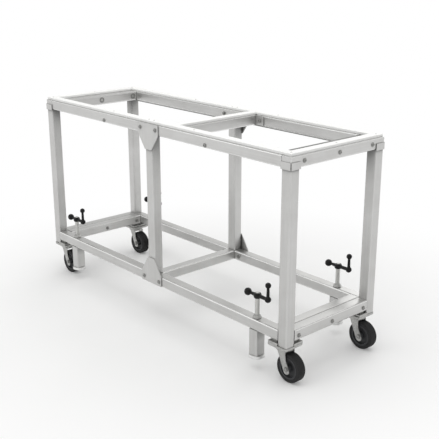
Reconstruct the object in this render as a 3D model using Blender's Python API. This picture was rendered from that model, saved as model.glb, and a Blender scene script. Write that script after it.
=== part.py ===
"""Stone fabrication table: an open square-tube frame on four swivel casters.

Two long rails and two end rails carry the wear strips that a slab lies on, with
one cross rail between them. Six legs stand on a lower frame, and four screw
jacks with cranks beside the corners lift the casters off the floor for work.

Metres, +Z up, X along the table, -Y the front. The floor is z = 0.
"""
import math

import bmesh
import bpy
from mathutils import Matrix

for item in list(bpy.data.objects):
    bpy.data.objects.remove(item, do_unlink=True)

# Frame
LENGTH = 1.830
WIDTH = 0.578
HEIGHT = 1.000
TUBE = 0.0508
STRIP_H = 0.0110
STRIP_EDGE = 0.0012
WALL = 0.003
CORNER = 0.006
LOWER_RISE = 0.0211
TOP_CROSS_X = 0.152
GAP = 0.0003

# Corner bracket welded on each outer leg, and the plates bolted to the rails
BRACKET_T = 0.004
BRACKET_H = 0.027
BRACKET_LAND = 0.002
VENT_R = 0.005
GUSSET_T = 0.004
GUSSET_HALF = 0.077
GUSSET_TOP_DROP = 0.075
GUSSET_LOW_RISE = 0.082
GUSSET_EDGE = 0.001
GUSSET_CORNER = 0.004
FLANGE_T = 0.005
FLANGE_HALF = 0.080
FLANGE_EDGE = 0.002
WELD_SINK = 0.0002

# Caster, from the floor up
WHEEL_R = 0.0655
WHEEL_W = 0.044
WHEEL_SIDES = 24
TREAD_EDGE = 0.005
TREAD_CROWN = 0.0020
SHOULDER_EDGE = 0.0015
RIM_R = 0.0485
RIM_T = 0.0075
RIM_TAPER = 0.002
WEB_HALF = 0.007
HUB_BOSS_R = 0.015
TRAIL = 0.038
AXLE_R = 0.006
AXLE_HEAD_R = 0.0090
AXLE_HEAD = 0.006
AXLE_CLEAR = 0.0005
ARM_T = 0.004
ARM_CLEAR = 0.004
ARM_TOP_HALF = 0.028
ARM_BACK = 0.0145
ARM_SHOULDER = 0.008
ARM_KNEE = 0.033
ARM_KNEE_DROP = 0.042
ARM_END_R = 0.0165
ARM_END_DROP = 0.008
ARM_STEPS = 8
CROWN_GAP = 0.007
BRIDGE_T = 0.005
CROWN_R = 0.036
CROWN_H = 0.010
CROWN_BEVEL = 0.004
RACE_R = 0.033
RACE_H = 0.006
RACE_FLARE = 0.004
PLATE = 0.110
PLATE_T = 0.010
PLATE_CORNER = 0.012
KINGPIN_R = 0.006
KINGPIN_NUT_R = 0.010
KINGPIN_NUT = 0.006
SWIVEL_IN_X = 0.053
SWIVEL_IN_Y = 0.050

# Screw jack
JACK_CLEAR = 0.007
FOOT_RAISE = 0.054
FOOT_R = 0.0355
FOOT_T = 0.009
FOOT_EDGE = 0.0018
FOOT_GAP = 0.006
RAM_CLEAR = 0.0005
RAM_WALL = 0.003
RAM_TOP_GAP = 0.002
SCREW_R = 0.0105
SCREW_CLEAR = 0.001
THRUST_R = 0.013
THRUST_T = 0.005
NUT_R = 0.0197
NUT_TOP_R = 0.0145
NUT_RIM = 0.0045
NUT_H = 0.013
JOURNAL_R = 0.0085
JOURNAL_PROUD = 0.0045
CRANK_RISE = 0.1025
CRANK_HUB_R = 0.0180
CRANK_HUB_HALF = 0.0110
CRANK_BALL_R = 0.0168
CRANK_BALL_X = 0.059
CRANK_BOSS_R = 0.0142
CRANK_BOSS_X = 0.063
CRANK_NECK_R = 0.0062
CRANK_ROOT_R = 0.0086
CRANK_TIP_R = 0.0080
HANDLE_RISE = 0.064
HANDLE_R = 0.0072
HANDLE_NECK_R = 0.0062
HANDLE_BALL_R = 0.0130
CRANK_SIDES = 12

# Levels and positions that follow from the sizes above
HX = LENGTH / 2
HY = WIDTH / 2
AXLE_Z = WHEEL_R * math.cos(math.pi / WHEEL_SIDES)
BRIDGE_Z = AXLE_Z + WHEEL_R + CROWN_GAP
CROWN_TOP_Z = BRIDGE_Z + BRIDGE_T + CROWN_H
RACE_Z = CROWN_TOP_Z + GAP
PLATE_Z = RACE_Z + RACE_H
LEG_Z = PLATE_Z + PLATE_T
LOWER_Z = LEG_Z + LOWER_RISE
LOWER_TOP_Z = LOWER_Z + TUBE
UPPER_Z = HEIGHT - STRIP_H - GAP - TUBE
SWIVEL_X = HX - SWIVEL_IN_X
SWIVEL_Y = HY - SWIVEL_IN_Y
JACK_X = SWIVEL_X - TRAIL - WHEEL_R - FOOT_R - JACK_CLEAR
JACK_Y = HY - TUBE / 2
SLEEVE_Z = FOOT_RAISE + FOOT_T + FOOT_GAP
CRANK_Z = LOWER_TOP_Z + CRANK_RISE
ARM_IN = WHEEL_W / 2 + ARM_CLEAR
CRANK_BORE_R = JOURNAL_R + GAP
HUB_FLAT_R = math.sqrt(CRANK_HUB_R ** 2 - CRANK_HUB_HALF ** 2)
RIGHT_END = SWIVEL_X + TRAIL + AXLE_Z
LEFT_END = -HX - GAP - BRACKET_T
TABLE_X = -(RIGHT_END + LEFT_END) / 2

MERGE = 0.000001
ROUND_SIDES = 20
BORE_SIDES = 16
PIN_SIDES = 12
BALL_STEPS = 6
SMOOTH_BELOW = math.radians(32)
CORNERS = {
    "front_right": (1, -1),
    "front_left": (-1, -1),
    "rear_right": (1, 1),
    "rear_left": (-1, 1),
}


def material(name, colour, roughness, metallic):
    """A plain Principled material in the piece's own colour."""
    made = bpy.data.materials.new(name)
    made.use_nodes = True
    shader = made.node_tree.nodes["Principled BSDF"]
    shader.inputs["Base Color"].default_value = (*colour, 1.0)
    shader.inputs["Roughness"].default_value = roughness
    shader.inputs["Metallic"].default_value = metallic
    return made


ALUMINIUM = material("mill_aluminium", (0.70, 0.71, 0.72), 0.45, 1.0)
ZINC = material("zinc_plated_steel", (0.46, 0.48, 0.49), 0.42, 1.0)
STEEL = material("turned_steel", (0.52, 0.52, 0.51), 0.30, 1.0)
CAST = material("cast_wheel_core", (0.16, 0.16, 0.17), 0.60, 0.6)
RUBBER = material("black_rubber", (0.025, 0.025, 0.026), 0.80, 0.0)
BLACK = material("black_oxide_crank", (0.018, 0.018, 0.020), 0.35, 0.3)

table = bpy.data.objects.new("table_frame", None)
table.location = (TABLE_X, 0, 0)
bpy.context.scene.collection.objects.link(table)


def finished(bm):
    """Closes a bmesh into a mesh whose faces point out."""
    bmesh.ops.recalc_face_normals(bm, faces=bm.faces)
    mesh = bpy.data.meshes.new("shape")
    bm.to_mesh(mesh)
    bm.free()
    return mesh


def add(name, mesh, finish, location, turn=0.0):
    """Places a mesh in the table as one named piece."""
    mesh.materials.clear()
    mesh.materials.append(finish)
    mesh.shade_smooth()
    mesh.set_sharp_from_angle(angle=SMOOTH_BELOW)
    piece = bpy.data.objects.new(name, mesh)
    piece.parent = table
    piece.location = location
    piece.rotation_euler = (0, 0, turn)
    bpy.context.scene.collection.objects.link(piece)
    return piece


def combined(base, others, operation):
    """Joins meshes to a base mesh, or cuts them from it."""
    body = bpy.data.objects.new("body", base)
    bpy.context.scene.collection.objects.link(body)
    tools = []
    for mesh in others:
        tool = bpy.data.objects.new("tool", mesh)
        bpy.context.scene.collection.objects.link(tool)
        step = body.modifiers.new("step", "BOOLEAN")
        step.solver = "EXACT"
        step.operation = operation
        step.object = tool
        tools.append(tool)
    graph = bpy.context.evaluated_depsgraph_get()
    result = bpy.data.meshes.new_from_object(body.evaluated_get(graph))
    for used in [body, *tools]:
        bpy.data.objects.remove(used, do_unlink=True)
    return result


def rounded(width, height, radius, steps=2):
    """Outline of a rectangle with rounded corners, anticlockwise."""
    points = []
    corners = ((1, 1, 0), (-1, 1, 90), (-1, -1, 180), (1, -1, 270))
    for sign_u, sign_v, start in corners:
        for i in range(steps + 1):
            angle = math.radians(start + 90 * i / steps)
            u = sign_u * (width / 2 - radius) + radius * math.cos(angle)
            v = sign_v * (height / 2 - radius) + radius * math.sin(angle)
            points.append((u, v))
    return points


def capped(width, radius, strip, edge):
    """Outline of a square tube with its wear strip fixed on top, anticlockwise."""
    tube = rounded(width, width, radius)
    turn = len(tube) // 4
    half = width / 2
    low = half + GAP
    right = [(half - radius, low), (half - edge, low), (half, low + edge),
             (half, low + strip - edge), (half - edge, low + strip)]
    left = [(-u, v) for u, v in reversed(right)]
    return tube[:turn] + right + left + tube[turn:]


def along(axis, u, v, w):
    """Point with section coordinates u, v and distance w along an axis."""
    return {"X": (w, u, v), "Y": (u, w, v), "Z": (u, v, w)}[axis]


def swept(bm, faces, axis, length):
    """Extrudes flat faces into a closed bar."""
    grown = bmesh.ops.extrude_face_region(bm, geom=faces)["geom"]
    moved = [part for part in grown if isinstance(part, bmesh.types.BMVert)]
    bmesh.ops.translate(bm, verts=moved, vec=along(axis, 0, 0, length))
    return [part for part in grown if isinstance(part, bmesh.types.BMFace)]


def bar(axis, length, points, start=None):
    """Solid bar or plate of any outline; centred on its length by default."""
    bm = bmesh.new()
    begin = -length / 2 if start is None else start
    verts = [bm.verts.new(along(axis, u, v, begin)) for u, v in points]
    swept(bm, [bm.faces.new(verts)], axis, length)
    return finished(bm)


def hollow_bar(axis, length, width, height, wall, start=None):
    """Square or rectangular tube with rounded corners and open ends."""
    bm = bmesh.new()
    begin = -length / 2 if start is None else start
    rims = []
    for inset in (0.0, wall):
        radius = CORNER - inset * CORNER / (wall + CORNER)
        outline = rounded(width - 2 * inset, height - 2 * inset, radius)
        verts = [bm.verts.new(along(axis, u, v, begin)) for u, v in outline]
        rims += [bm.edges.new((verts[i - 1], verts[i])) for i in range(len(verts))]
    end = bmesh.ops.bridge_loops(bm, edges=rims)["faces"]
    swept(bm, end, axis, length)
    return finished(bm)


def turned(profile, sides, axis="Z", ring=False, at=(0, 0, 0)):
    """Revolves a profile of (radius, height) points; flats face the axes."""
    bm = bmesh.new()
    verts = [bm.verts.new((radius, 0, height)) for radius, height in profile]
    edges = [bm.edges.new(pair) for pair in zip(verts, verts[1:])]
    if ring:
        edges.append(bm.edges.new((verts[-1], verts[0])))
    bmesh.ops.spin(bm, geom=verts + edges, cent=(0, 0, 0), axis=(0, 0, 1),
                   angle=2 * math.pi, steps=sides, use_merge=True)
    bmesh.ops.remove_doubles(bm, verts=bm.verts, dist=MERGE)
    spin = Matrix.Rotation(math.pi / sides, 3, "Z")
    if axis == "Y":
        spin = Matrix.Rotation(-math.pi / 2, 3, "X") @ spin
    if axis == "X":
        spin = Matrix.Rotation(math.pi / 2, 3, "Y") @ spin
    bmesh.ops.rotate(bm, verts=bm.verts, cent=(0, 0, 0), matrix=spin)
    bmesh.ops.translate(bm, verts=bm.verts, vec=at)
    return finished(bm)


def ball_arc(centre, radius, start_r, end_r, count):
    """Profile points over a ball, from one neck radius to the other."""
    first = math.pi - math.asin(start_r / radius)
    last = math.asin(end_r / radius)
    angles = [first + (last - first) * i / (count - 1) for i in range(count)]
    return [(radius * math.sin(a), centre + radius * math.cos(a)) for a in angles]


def vent():
    """Cutter for the round hole under a closed tube that serves the welding."""
    return turned([(0, -TUBE), (VENT_R, -TUBE), (VENT_R, 0), (0, 0)], PIN_SIDES)


# Long top rails lie between the end rails, which run the full width and are
# closed at both ends but for a vent under the middle. Each of these and the
# cross rail carries its wear strip, screwed down and one solid with it here.
inner_length = LENGTH - 2 * TUBE - 2 * GAP
upper_mid_z = UPPER_Z + TUBE / 2
rail_outline = capped(TUBE, CORNER, STRIP_H, STRIP_EDGE)
bore_outline = rounded(TUBE - 2 * WALL, TUBE - 2 * WALL, CORNER - WALL / 2)
for side, sign in (("front", -1), ("rear", 1)):
    bore = bar("X", LENGTH, bore_outline)
    top_rail = combined(bar("X", inner_length, rail_outline), [bore], "DIFFERENCE")
    add("top_rail_" + side, top_rail, ALUMINIUM, (0, sign * (HY - TUBE / 2), upper_mid_z))

for side, sign in (("right", 1), ("left", -1)):
    hollow = bar("Y", WIDTH - 2 * WALL, bore_outline)
    end_rail = combined(bar("Y", WIDTH, rail_outline), [hollow, vent()], "DIFFERENCE")
    add("top_end_rail_" + side, end_rail, ALUMINIUM,
        (sign * (HX - TUBE / 2), 0, upper_mid_z))

# A second tube stiffens each end rail from inside, between the long rails.
span = WIDTH - 2 * TUBE - 2 * GAP
for side, sign in (("right", 1), ("left", -1)):
    add("top_inner_rail_" + side, hollow_bar("Y", span, TUBE, TUBE, WALL), ALUMINIUM,
        (sign * (HX - 1.5 * TUBE - GAP), 0, upper_mid_z))

# The top cross rail stands a little right of the middle and is welded to a
# flange plate at each end, which bolts to the inner face of a long rail.
cross_bore = bar("Y", WIDTH, bore_outline)
cross = combined(bar("Y", span - 2 * WELD_SINK, rail_outline), [cross_bore, vent()], "DIFFERENCE")
flange_outline = rounded(2 * FLANGE_HALF, TUBE - 2 * FLANGE_EDGE, CORNER)
flanges = [bar("Y", FLANGE_T, flange_outline, start=-span / 2),
           bar("Y", FLANGE_T, flange_outline, start=span / 2 - FLANGE_T)]
add("top_cross_rail", combined(cross, flanges, "UNION"), ALUMINIUM,
    (TOP_CROSS_X, 0, upper_mid_z))


def corner_bracket(sign_x, sign_y):
    """Plate on a leg's top with a flange up each outer face of the rails."""
    inner = -TUBE / 2 - BRACKET_LAND
    edge = TUBE / 2
    root = TUBE / 2 + GAP
    out = root + BRACKET_T
    plan = {
        "deck": [(inner, inner), (root, inner), (root, edge), (edge, edge), (inner, edge)],
        "end_flange": [(root, inner), (out, inner), (out, edge), (root, edge)],
        "side_step": [(inner, edge), (edge, edge), (edge, root), (inner, root)],
        "side_flange": [(inner, root), (edge, root), (edge, out), (inner, out)],
    }
    bm = bmesh.new()
    corners = {}
    faces = {}
    for part, outline in plan.items():
        for u, v in outline:
            if (u, v) not in corners:
                corners[u, v] = bm.verts.new((sign_x * u, sign_y * v, -BRACKET_T))
        faces[part] = bm.faces.new([corners[point] for point in outline])
    lifted = swept(bm, list(faces.values()), "Z", BRACKET_T)
    for face in lifted:
        middle = face.calc_center_median()
        if max(sign_x * middle.x, sign_y * middle.y) > root:
            moved = bmesh.ops.extrude_discrete_faces(bm, faces=[face])["faces"][0]
            bmesh.ops.translate(bm, verts=moved.verts, vec=(0, 0, BRACKET_H))
    return finished(bm)


# Corner legs stand on the caster plates; each one's bracket takes the rail.
leg_top = UPPER_Z - GAP
leg_length = leg_top - BRACKET_T / 2 - LEG_Z - GAP
for corner, (sign_x, sign_y) in CORNERS.items():
    leg = hollow_bar("Z", leg_length, TUBE, TUBE, WALL, start=LEG_Z + GAP - leg_top)
    leg = combined(leg, [corner_bracket(sign_x, sign_y)], "UNION")
    add("leg_" + corner, leg, ALUMINIUM,
        (sign_x * (HX - TUBE / 2), sign_y * (HY - TUBE / 2), leg_top))

# Lower rails lie between the legs, with a second tube inside each end rail
# and one cross rail at the middle. The jack screws pass through the long ones.
lower_mid_z = LOWER_Z + TUBE / 2
hole_r = SCREW_R + SCREW_CLEAR
hole = [(0, -TUBE), (hole_r, -TUBE), (hole_r, TUBE), (0, TUBE)]
for side, sign in (("front", -1), ("rear", 1)):
    lower = hollow_bar("X", inner_length, TUBE, TUBE, WALL)
    holes = [turned(hole, BORE_SIDES, at=(end * JACK_X, 0, 0)) for end in (-1, 1)]
    lower = combined(lower, holes, "DIFFERENCE")
    add("lower_rail_" + side, lower, ALUMINIUM, (0, sign * JACK_Y, lower_mid_z))

for side, sign in (("right", 1), ("left", -1)):
    outer_rail = hollow_bar("Y", span, TUBE, TUBE, WALL)
    add("lower_end_rail_" + side, outer_rail, ALUMINIUM,
        (sign * (HX - TUBE / 2), 0, lower_mid_z))
    inner_rail = hollow_bar("Y", span, TUBE, TUBE, WALL)
    add("lower_inner_rail_" + side, inner_rail, ALUMINIUM,
        (sign * (HX - 1.5 * TUBE - GAP), 0, lower_mid_z))

add("lower_cross_rail", hollow_bar("Y", span, TUBE, TUBE, WALL), ALUMINIUM,
    (0, 0, lower_mid_z))

# Middle legs stand on the lower rails under the long top rails. A gusset
# plate across each joint is bolted to the outer faces.
mid_length = UPPER_Z - LOWER_TOP_Z - 2 * GAP
for side, sign in (("front", -1), ("rear", 1)):
    mid_leg = hollow_bar("Z", mid_length, TUBE, TUBE, WALL)
    add("mid_leg_" + side, mid_leg, ALUMINIUM,
        (0, sign * JACK_Y, (UPPER_Z + LOWER_TOP_Z) / 2))


def gusset(levels):
    """Plate outline from (half width, height) levels, top to bottom."""
    right = [(half, z) for half, z in levels]
    left = [(-half, z) for half, z in reversed(levels)]
    bm = bmesh.new()
    verts = [bm.verts.new((x, -GUSSET_T / 2, z)) for x, z in right + left]
    swept(bm, [bm.faces.new(verts)], "Y", GUSSET_T)
    sharp = [e for e in bm.edges if abs(e.verts[0].co.y - e.verts[1].co.y) > MERGE]
    bmesh.ops.bevel(bm, geom=sharp, offset=GUSSET_CORNER, segments=2, profile=0.5,
                    affect="EDGES")
    return finished(bm)


gusset_y = HY + GAP + GUSSET_T / 2
leg_half = TUBE / 2 - GUSSET_EDGE
for side, sign in (("front", -1), ("rear", 1)):
    top_plate = gusset([(GUSSET_HALF, TUBE - GUSSET_EDGE), (GUSSET_HALF, 0),
                        (leg_half, -GUSSET_TOP_DROP)])
    add("gusset_top_" + side, top_plate, ALUMINIUM, (0, sign * gusset_y, UPPER_Z))
    low_plate = gusset([(leg_half, GUSSET_LOW_RISE), (GUSSET_HALF, 0),
                        (GUSSET_HALF, GUSSET_EDGE - TUBE)])
    add("gusset_low_" + side, low_plate, ALUMINIUM, (0, sign * gusset_y, LOWER_TOP_Z))

# Caster: the mounting plate carries the race and the kingpin, the fork turns
# under it and trails to the right, and the wheel turns on the fork's axle.
nut_z = BRIDGE_Z - GAP - KINGPIN_NUT
plate_mid = PLATE_Z + PLATE_T / 2
kingpin = turned([(0, nut_z), (KINGPIN_NUT_R, nut_z), (KINGPIN_NUT_R, nut_z + KINGPIN_NUT),
                  (KINGPIN_R, nut_z + KINGPIN_NUT), (KINGPIN_R, RACE_Z), (RACE_R, RACE_Z),
                  (RACE_R + RACE_FLARE, PLATE_Z), (RACE_R + RACE_FLARE, plate_mid),
                  (0, plate_mid)], BORE_SIDES)
caster_plate = bar("Z", PLATE_T, rounded(PLATE, PLATE, PLATE_CORNER), start=PLATE_Z)
caster_plate = combined(caster_plate, [kingpin], "UNION")


def arm_outline():
    """Flat fork arm seen from the side: wide shoulders, then a waist and a round end."""
    top = BRIDGE_Z + BRIDGE_T - WELD_SINK
    back = (-ARM_BACK, top - ARM_SHOULDER)
    knee = (ARM_KNEE, top - ARM_KNEE_DROP)
    end_z = AXLE_Z - ARM_END_DROP
    ends = []
    for sign, (x, z) in ((-1, back), (1, knee)):
        lean = math.atan2(z - end_z, x - TRAIL)
        open_by = math.acos(ARM_END_R / math.hypot(x - TRAIL, z - end_z))
        ends.append(lean - sign * open_by)
    first = ends[0]
    last = ends[1] + 2 * math.pi
    points = [(ARM_TOP_HALF, top), (-ARM_TOP_HALF, top), back]
    for i in range(ARM_STEPS + 1):
        angle = first + (last - first) * i / ARM_STEPS
        points.append((TRAIL + ARM_END_R * math.cos(angle),
                       end_z + ARM_END_R * math.sin(angle)))
    return points + [knee]


arm_mid = ARM_IN + ARM_T / 2
arm_out = ARM_IN + ARM_T
head_out = arm_out + AXLE_HEAD
crown = turned([(0, BRIDGE_Z + BRIDGE_T / 2), (CROWN_R, BRIDGE_Z + BRIDGE_T / 2),
                (CROWN_R, CROWN_TOP_Z - CROWN_BEVEL), (RACE_R, CROWN_TOP_Z),
                (0, CROWN_TOP_Z)], ROUND_SIDES)
bridge = bar("Z", BRIDGE_T, rounded(2 * ARM_TOP_HALF, 2 * arm_mid, CORNER), start=BRIDGE_Z)
arms = [bar("Y", ARM_T, arm_outline(), start=sign * arm_mid - ARM_T / 2) for sign in (-1, 1)]
axle = turned([(0, -head_out), (AXLE_HEAD_R, -head_out), (AXLE_HEAD_R, -arm_mid),
               (AXLE_R, -arm_mid), (AXLE_R, arm_mid), (AXLE_HEAD_R, arm_mid),
               (AXLE_HEAD_R, head_out), (0, head_out)], PIN_SIDES, "Y",
              at=(TRAIL, 0, AXLE_Z))
fork = combined(crown, [bridge, *arms, axle], "UNION")
kingpin_hole_r = KINGPIN_R + AXLE_CLEAR
kingpin_hole = turned([(0, 0), (kingpin_hole_r, 0), (kingpin_hole_r, 2 * CROWN_TOP_Z),
                       (0, 2 * CROWN_TOP_Z)], BORE_SIDES, at=(0, 0, BRIDGE_Z - CROWN_GAP / 2))
fork = combined(fork, [kingpin_hole], "DIFFERENCE")

bore_r = AXLE_R + AXLE_CLEAR
boss_w = ARM_IN - AXLE_CLEAR * 2
rim_w = WHEEL_W / 2 - AXLE_CLEAR * 2
web_r = RIM_R - RIM_T
half_hub = [(bore_r, boss_w), (HUB_BOSS_R, boss_w), (HUB_BOSS_R, WEB_HALF), (web_r, WEB_HALF),
            (web_r + RIM_TAPER, rim_w), (RIM_R, rim_w)]
hub_profile = half_hub + [(radius, -width) for radius, width in reversed(half_hub)]
hub = turned(hub_profile, WHEEL_SIDES, "Y", ring=True)

half_tyre = [(RIM_R + GAP, rim_w), ((RIM_R + WHEEL_R) / 2, WHEEL_W / 2),
             (WHEEL_R - TREAD_CROWN, WHEEL_W / 2 - SHOULDER_EDGE),
             (WHEEL_R, WHEEL_W / 2 - TREAD_EDGE)]
tyre_profile = half_tyre + [(radius, -width) for radius, width in reversed(half_tyre)]
tyre = turned(tyre_profile, WHEEL_SIDES, "Y", ring=True)

for corner, (sign_x, sign_y) in CORNERS.items():
    swivel = (sign_x * SWIVEL_X, sign_y * SWIVEL_Y, 0)
    axle_at = (sign_x * SWIVEL_X + TRAIL, sign_y * SWIVEL_Y, AXLE_Z)
    add("caster_plate_" + corner, caster_plate, ZINC, swivel)
    add("caster_fork_" + corner, fork, ZINC, swivel)
    add("caster_hub_" + corner, hub, CAST, axle_at)
    add("caster_tyre_" + corner, tyre, RUBBER, axle_at)

# Screw jack: a sleeve under the lower rail guides a square ram with a round
# foot. The screw turns in a nut on the rail and bears on the foot, so it
# goes down with the foot as the ball crank on its top is turned.
sleeve = hollow_bar("Z", LOWER_Z - GAP - SLEEVE_Z, TUBE, TUBE, WALL, start=SLEEVE_Z)
nut_bore = SCREW_R + GAP
nut = turned([(nut_bore, 0), (NUT_R, 0), (NUT_R, NUT_RIM), (NUT_TOP_R, NUT_H),
              (nut_bore, NUT_H)], BORE_SIDES, ring=True)

foot_top = FOOT_RAISE + FOOT_T
pad = turned([(0, FOOT_RAISE), (FOOT_R - FOOT_EDGE, FOOT_RAISE),
              (FOOT_R, FOOT_RAISE + FOOT_EDGE), (FOOT_R, foot_top - FOOT_EDGE),
              (FOOT_R - FOOT_EDGE, foot_top), (0, foot_top)], ROUND_SIDES)
ram_w = TUBE - 2 * WALL - 2 * RAM_CLEAR
ram_z = foot_top - FOOT_T / 2
ram = hollow_bar("Z", LOWER_Z - RAM_TOP_GAP - ram_z, ram_w, ram_w, RAM_WALL, start=ram_z)
foot = combined(pad, [ram], "UNION")

shoulder_z = CRANK_Z - CRANK_HUB_HALF - GAP
screw_z = foot_top + GAP
screw_top_z = CRANK_Z + CRANK_HUB_HALF + JOURNAL_PROUD
screw = turned([(0, screw_z), (THRUST_R, screw_z), (THRUST_R, screw_z + THRUST_T),
                (SCREW_R, screw_z + THRUST_T), (SCREW_R, shoulder_z), (JOURNAL_R, shoulder_z),
                (JOURNAL_R, screw_top_z), (0, screw_top_z)], BORE_SIDES)

# The crank's hub is a ball with two flats, on an arm that swells toward it.
hub_ball = ball_arc(0, CRANK_HUB_R, HUB_FLAT_R, HUB_FLAT_R, BALL_STEPS - 2)
hub_ball = turned([(0, -CRANK_HUB_HALF), *hub_ball, (0, CRANK_HUB_HALF)], CRANK_SIDES,
                  at=(0, 0, CRANK_Z))
lever = ball_arc(-CRANK_BALL_X, CRANK_BALL_R, 0, CRANK_NECK_R, BALL_STEPS)
lever += [(CRANK_ROOT_R, -HUB_FLAT_R), (CRANK_ROOT_R, HUB_FLAT_R)]
lever += ball_arc(CRANK_BOSS_X, CRANK_BOSS_R, CRANK_TIP_R, 0, BALL_STEPS)
lever = turned(lever, CRANK_SIDES, "X", at=(0, 0, CRANK_Z))
handle = [(0, 0), (HANDLE_R, 0), (HANDLE_R, CRANK_BOSS_R)]
handle += ball_arc(HANDLE_RISE, HANDLE_BALL_R, HANDLE_NECK_R, 0, BALL_STEPS)
handle = turned(handle, CRANK_SIDES, at=(CRANK_BOSS_X, 0, CRANK_Z))
crank_hole = turned([(0, -TUBE), (CRANK_BORE_R, -TUBE), (CRANK_BORE_R, TUBE), (0, TUBE)],
                    BORE_SIDES, at=(0, 0, CRANK_Z))
crank = combined(combined(lever, [hub_ball, handle], "UNION"), [crank_hole], "DIFFERENCE")

for corner, (sign_x, sign_y) in CORNERS.items():
    jack = (sign_x * JACK_X, sign_y * JACK_Y, 0)
    add("jack_sleeve_" + corner, sleeve, ALUMINIUM, jack)
    add("jack_nut_" + corner, nut, STEEL, (jack[0], jack[1], LOWER_TOP_Z + GAP))
    add("jack_foot_" + corner, foot, ZINC, jack)
    add("jack_screw_" + corner, screw, STEEL, jack)
    add("jack_crank_" + corner, crank, BLACK, jack)
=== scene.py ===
"""Looks of the stone fabrication table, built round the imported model.

Metres, +Z up, X along the table, -Y its front. The sections follow the way the
table is put together: lower frame, legs, top frame, plates, fasteners, casters,
screw jacks, and then the studio that it is photographed in.
"""
import math

import bmesh
import bpy
from mathutils import Matrix, Vector


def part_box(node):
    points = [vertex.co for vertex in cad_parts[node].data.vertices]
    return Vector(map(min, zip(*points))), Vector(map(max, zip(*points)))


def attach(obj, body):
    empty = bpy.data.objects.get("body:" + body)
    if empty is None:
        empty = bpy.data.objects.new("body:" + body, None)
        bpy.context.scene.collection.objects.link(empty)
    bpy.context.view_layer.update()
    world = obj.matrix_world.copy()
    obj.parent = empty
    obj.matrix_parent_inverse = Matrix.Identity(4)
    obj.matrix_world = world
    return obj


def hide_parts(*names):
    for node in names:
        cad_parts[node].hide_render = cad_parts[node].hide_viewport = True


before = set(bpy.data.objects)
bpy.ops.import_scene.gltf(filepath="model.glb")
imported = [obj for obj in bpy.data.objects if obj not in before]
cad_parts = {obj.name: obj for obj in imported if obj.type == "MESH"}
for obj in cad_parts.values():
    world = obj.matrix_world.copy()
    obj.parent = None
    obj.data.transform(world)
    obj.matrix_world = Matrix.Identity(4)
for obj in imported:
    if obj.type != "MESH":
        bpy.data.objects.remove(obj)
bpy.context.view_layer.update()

# Lower frame: square tubes of extruded aluminium, sawn to length and bolted
# between the legs. Two end rails stand side by side at each end, drawn with the
# round corners of the extrusion, and one cross rail ties the long rails.


def linear(code):
    """sRGB hex colour to the linear RGBA that a shader socket takes."""
    parts = [int(code[i:i + 2], 16) / 255 for i in (1, 3, 5)]
    return (*[p / 12.92 if p <= 0.04045 else ((p + 0.055) / 1.055) ** 2.4 for p in parts], 1)


def add_node(tree, kind, settings, links):
    """Adds one node with its own values, its input values and what feeds it."""
    node = tree.nodes.new(kind)
    for name, value in settings.items():
        if isinstance(name, str) and hasattr(node, name):
            setattr(node, name, value)
        else:
            node.inputs[name].default_value = value
    for name, source in links.items():
        tree.links.new(source, node.inputs[name])
    return node


def new_finish(name):
    """An empty material and its Principled shader."""
    finish = bpy.data.materials.new(name)
    finish.use_nodes = True
    return finish, finish.node_tree, finish.node_tree.nodes["Principled BSDF"]


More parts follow.
